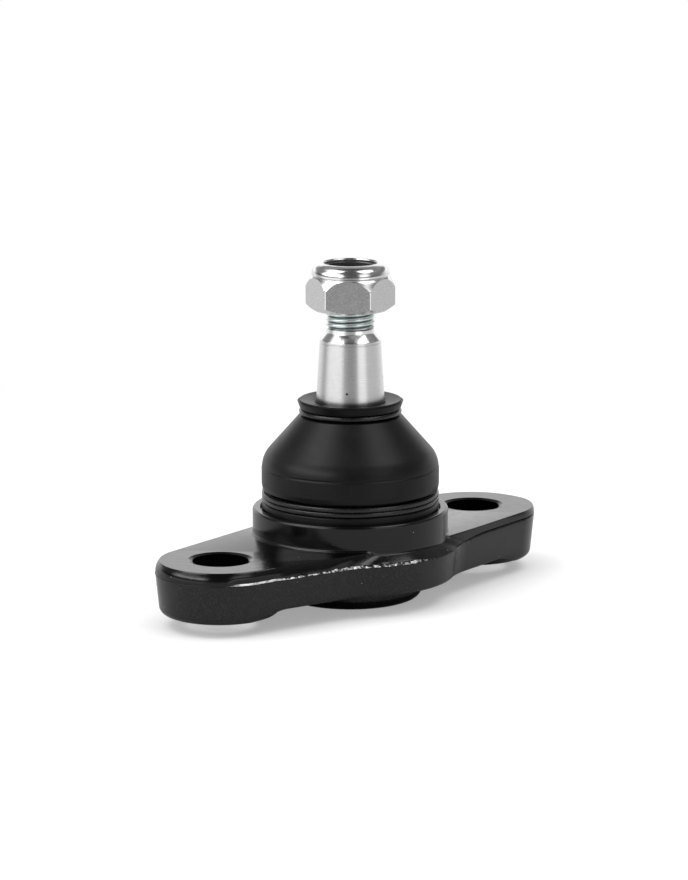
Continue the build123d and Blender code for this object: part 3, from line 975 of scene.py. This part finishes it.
def boot_rubber():
    """Moulded black rubber with a soft bloom."""
    made, tree, place = surface("boot_rubber", IOR=1.45, Specular_IOR_Level=0.28)
    fine = grain(tree, place, 0.22, 2)
    soft = grain(tree, place, 6.0, 3)
    colour = tint(tree, spread(tree, soft, 0, 1), 0.003, 0.005)
    return finished(made, colour, spread(tree, soft, 0.34, 0.41), [(fine, 0.012), (soft, 0.03)])


def ring_steel():
    """Black oxide wire."""
    made, tree, place = surface("black_wire", IOR=1.5)
    along = grain(tree, place, 0.15, 2, stretch=(0.15, 0.15, 1))
    colour = tint(tree, along, 0.003, 0.007)
    return finished(made, colour, spread(tree, along, 0.20, 0.30), [(along, 0.012)])


def turned_lines(tree, place, size):
    """Fine lines left round a turned or ground surface."""
    return grain(tree, place, size, 3, stretch=(0.012, 0.012, 1))


def ground_steel():
    """Ground taper and ball: bright steel with fine rings and a few dark specks, with a painted reflection of
    the black lip darkening it just above the boot's lip.
    """
    made, tree, place = surface("ground_steel", Metallic=1.0, Anisotropic=0.6, Anisotropic_Rotation=0.25)
    rings = add(tree, "ShaderNodeTangent", direction_type="RADIAL", axis="Z").outputs["Tangent"]
    tree.links.new(rings, tree.nodes["Principled BSDF"].inputs["Tangent"])
    lines = turned_lines(tree, place, 0.10)
    broad = turned_lines(tree, place, 0.7)
    pits = specks(tree, place, 4.5, 0.32, 0.4)
    # Painted reflection: the steel is darkened from the boot's lip to a millimetre above it, standing in for
    # the black lip reflected in the taper.
    painted_lip_reflection = ramp_along(tree, place, "Z", LIP_TOP - 0.3, LIP_TOP + 1.0)
    clean = tint(tree, multiply(tree, spread(tree, broad, 0.94, 1.0), painted_lip_reflection), 0.25, 0.71)
    colour = blend_colours(tree, pits, clean, (0.03, 0.028, 0.025, 1))
    return finished(made, colour, spread(tree, lines, 0.26, 0.34), [(lines, 0.0010), (broad, 0.0006)])


def turned_metal(name, dark, light, low, high, depth):
    """Turned steel between two greys and two roughnesses, with lines of a depth in millimetres."""
    made, tree, place = surface(name, Metallic=1.0)
    lines = turned_lines(tree, place, 0.1)
    colour = tint(tree, lines, dark, light)
    return finished(made, colour, spread(tree, lines, low, high), [(lines, depth)])


def polished_steel():
    """Turned chamfers, brighter than the faces beside them."""
    return turned_metal("polished_steel", 0.72, 0.84, 0.16, 0.22, 0.0008)


def zinc_thread():
    """Zinc-plated thread with a cold tint, with painted shade darkening its roots."""
    made, tree, place = surface("zinc_thread", Metallic=1.0)
    fine = grain(tree, place, 0.2, 2)
    flat = add(tree, "ShaderNodeVectorMath", {0: place, 1: (1, 1, 0)}, operation="MULTIPLY").outputs["Vector"]
    # Painted shade: the colour darkens from the crests down into the thread's roots.
    clean = ramp(tree, vector_length(tree, flat), (THREAD_ROOT + 0.1) * MM, (THREAD_RADIUS - 0.2) * MM)
    shade = multiply(tree, clean, spread(tree, fine, 0.85, 1.0))
    colour = tint(tree, shade, (0.34, 0.38, 0.375), (0.84, 0.895, 0.89))
    return finished(made, colour, spread(tree, fine, 0.16, 0.26), [(fine, 0.006)])


def nut_face():
    """Drawn flats of the nut: matt plated steel with a fine grain."""
    made, tree, place = surface("nut_face", Metallic=1.0)
    fine = grain(tree, place, 0.30, 3)
    blotch = grain(tree, place, 2.2, 2)
    colour = tint(tree, spread(tree, fine, 0, 1), 0.54, 0.68)
    return finished(made, colour, spread(tree, blotch, 0.24, 0.30), [(fine, 0.045), (blotch, 0.01)])


def collar_chrome():
    """Rolled collar with a bright burnished skin."""
    return turned_metal("burnished_collar", 0.70, 0.82, 0.14, 0.20, 0.0006)


def plastic(name, dark, light, rough):
    """Moulded plastic with slight flow marks."""
    made, tree, place = surface(name)
    soft = grain(tree, place, 2.0, 3)
    fine = grain(tree, place, 0.2, 2)
    roughness = spread(tree, fine, rough - 0.06, rough + 0.06)
    return finished(made, tint(tree, soft, dark, light), roughness, [(fine, 0.008)])


def metal(name, dark, light, rough, metallic):
    """Turned or pressed steel of the inner pieces."""
    made, tree, place = surface(name, Metallic=metallic)
    lines = turned_lines(tree, place, 0.15)
    blotch = grain(tree, place, 1.5, 3)
    roughness = spread(tree, lines, rough - 0.08, rough + 0.08)
    return finished(made, tint(tree, blotch, dark, light), roughness, [(lines, 0.005), (blotch, 0.01)])


def dress_inner_pieces():
    """Materials for the CAD nodes that stay as they are."""
    acetal = plastic("acetal", (0.80, 0.77, 0.70), (0.88, 0.86, 0.80), 0.42)
    finishes = {
        "upper_ball_seat": acetal,
        "lower_ball_seat": acetal,
        "preload_spring": metal("spring_steel", 0.34, 0.46, 0.36, 1.0),
        "bottom_cover": metal("phosphated_cover", 0.012, 0.022, 0.45, 0.0),
        "boot_bush": plastic("bush_plastic", 0.05, 0.07, 0.5),
        "nut_insert": plastic("insert_nylon", 0.02, 0.035, 0.45),
    }
    for node, made in finishes.items():
        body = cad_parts[node].data
        body.materials.clear()
        body.materials.append(made)


# ---------------------------------------------------------------- studio

RIGHT = Vector((cos(YAW), -sin(YAW), 0))
TOWARD = Vector((-sin(YAW), -cos(YAW), 0))


def direction(azimuth, elevation):
    """Unit vector from the object. Azimuth is 0 towards the camera and grows to the picture's right."""
    flat = TOWARD * cos(radians(azimuth)) + RIGHT * sin(radians(azimuth))
    return flat * cos(radians(elevation)) + Vector((0, 0, sin(radians(elevation))))


def stand(name, data, place, across, back):
    """A camera or lamp at a place, with its X axis across and its Z axis back from what it faces."""
    made = bpy.data.objects.new(name, data)
    bpy.context.collection.objects.link(made)
    turned = Matrix((across, back.cross(across), back)).transposed().to_4x4()
    made.matrix_world = Matrix.Translation(place) @ turned
    return made


def add_camera():
    data = bpy.data.cameras.new("camera")
    data.sensor_width = SENSOR
    data.lens = FOCAL_PIXELS * SENSOR / FRAME_HEIGHT
    data.clip_start = 0.05
    data.clip_end = 20
    back = direction(0, ELEVATION)
    target = RIGHT * TARGET_SIDE + Vector((0, 0, TARGET_HEIGHT))
    bpy.context.scene.camera = stand("camera", data, target + back * DISTANCE, RIGHT, back)


def softbox(name, start, end, height, radiance, reflected=True):
    """Rectangular lamp that faces the object, from one direction to another and so many degrees high."""
    first = direction(*start)
    last = direction(*end)
    aim = (first + last).normalized()
    across = (last - first).normalized()
    data = bpy.data.lights.new(name, "AREA")
    data.shape = "RECTANGLE"
    data.size = 2 * LAMP_DISTANCE * tan(first.angle(last) / 2)
    data.size_y = 2 * LAMP_DISTANCE * tan(radians(height) / 2)
    data.energy = radiance * data.size * data.size_y * pi
    lamp = stand(name, data, Vector((0, 0, LAMP_TARGET)) + aim * LAMP_DISTANCE, across, aim)
    lamp.visible_glossy = reflected


def add_world():
    """White room with a dark side behind the camera. Camera rays see plain white."""
    world = bpy.context.scene.world or bpy.data.worlds.new("world")
    bpy.context.scene.world = world
    world.use_nodes = True
    tree = world.node_tree
    tree.nodes.clear()
    place = add(tree, "ShaderNodeTexCoord").outputs["Generated"]

    def along(vector):
        dot = add(tree, "ShaderNodeVectorMath", {0: place, 1: vector}, operation="DOT_PRODUCT")
        return dot.outputs["Value"]

    def profile(stops):
        """Brightness round the horizon, from stops of (azimuth, brightness)."""
        band = add(tree, "ShaderNodeValToRGB", {"Fac": turn})
        points = band.color_ramp.elements
        for _ in stops[2:]:
            points.new(0.5)
        for point, (azimuth, brightness) in zip(points, stops):
            grey = brightness / BRIGHTEST
            point.position = azimuth / 360 + 0.5
            point.color = (grey, grey, grey, 1)
        return band.outputs["Color"]

    bearing = compute(tree, "ARCTAN2", along(direction(90, 0)), along(direction(0, 0)))
    turn = add(tree, "ShaderNodeMath", {0: bearing, 1: 1 / TURN, 2: 0.5}, operation="MULTIPLY_ADD").outputs[0]
    height = along(Vector((0, 0, 1)))
    level = profile(BELOW)
    for low, high, stops in ROOM:
        level = blend_colours(tree, ramp(tree, height, low, high), level, profile(stops))
    strength = multiply(tree, level, BRIGHTEST)
    room = add(tree, "ShaderNodeBackground", {"Color": (1, 1, 1, 1), "Strength": strength})
    plain = add(tree, "ShaderNodeBackground", {"Color": (1, 1, 1, 1)})
    seen = add(tree, "ShaderNodeLightPath").outputs["Is Camera Ray"]
    mixed = add(tree, "ShaderNodeMixShader", {0: seen, 1: room.outputs[0], 2: plain.outputs[0]})
    add(tree, "ShaderNodeOutputWorld", {"Surface": mixed.outputs[0]})


def add_floor():
    """Pale round table whose rim fades into the white background."""
    rings = 12
    table = lathe("floor", [(FLOOR_RADIUS * ring / rings, 0) for ring in range(rings + 1)], 96, closed=False)
    made = bpy.data.materials.new("pale_floor")
    made.use_nodes = True
    tree = made.node_tree
    tree.nodes.clear()
    place = add(tree, "ShaderNodeTexCoord").outputs["Object"]
    rim = ramp(tree, vector_length(tree, place), FLOOR_FADE[0] * MM, FLOOR_FADE[1] * MM)
    seen = add(tree, "ShaderNodeLightPath").outputs["Is Camera Ray"]
    matt = add(tree, "ShaderNodeBsdfDiffuse", {"Color": tint(tree, seen, 0.42, 0.55)})
    lift = add(tree, "ShaderNodeEmission", {"Strength": multiply(tree, seen, 0.34)})
    both = add(tree, "ShaderNodeAddShader", {0: matt.outputs[0], 1: lift.outputs[0]})
    white = add(tree, "ShaderNodeEmission")
    clear = add(tree, "ShaderNodeBsdfTransparent")
    beyond = add(tree, "ShaderNodeMixShader", {0: seen, 1: clear.outputs[0], 2: white.outputs[0]})
    mixed = add(tree, "ShaderNodeMixShader", {0: rim, 1: both.outputs[0], 2: beyond.outputs[0]})
    add(tree, "ShaderNodeOutputMaterial", {"Surface": mixed.outputs[0]})
    table.data.materials.append(made)


add_camera()
add_world()
add_floor()
softbox("left_softbox", start=(-98, 50), end=(-44, 67), height=20, radiance=2.7)
softbox("right_softbox", start=(49, 66), end=(103, 51), height=20, radiance=2.4)
softbox("overhead_fill", start=(-90, 50), end=(90, 50), height=80, radiance=1.65, reflected=False)
make_housing()
make_boot()
make_rings()
make_stud()
make_nut()
dress_inner_pieces()
bpy.context.scene.view_settings.view_transform = "Standard"
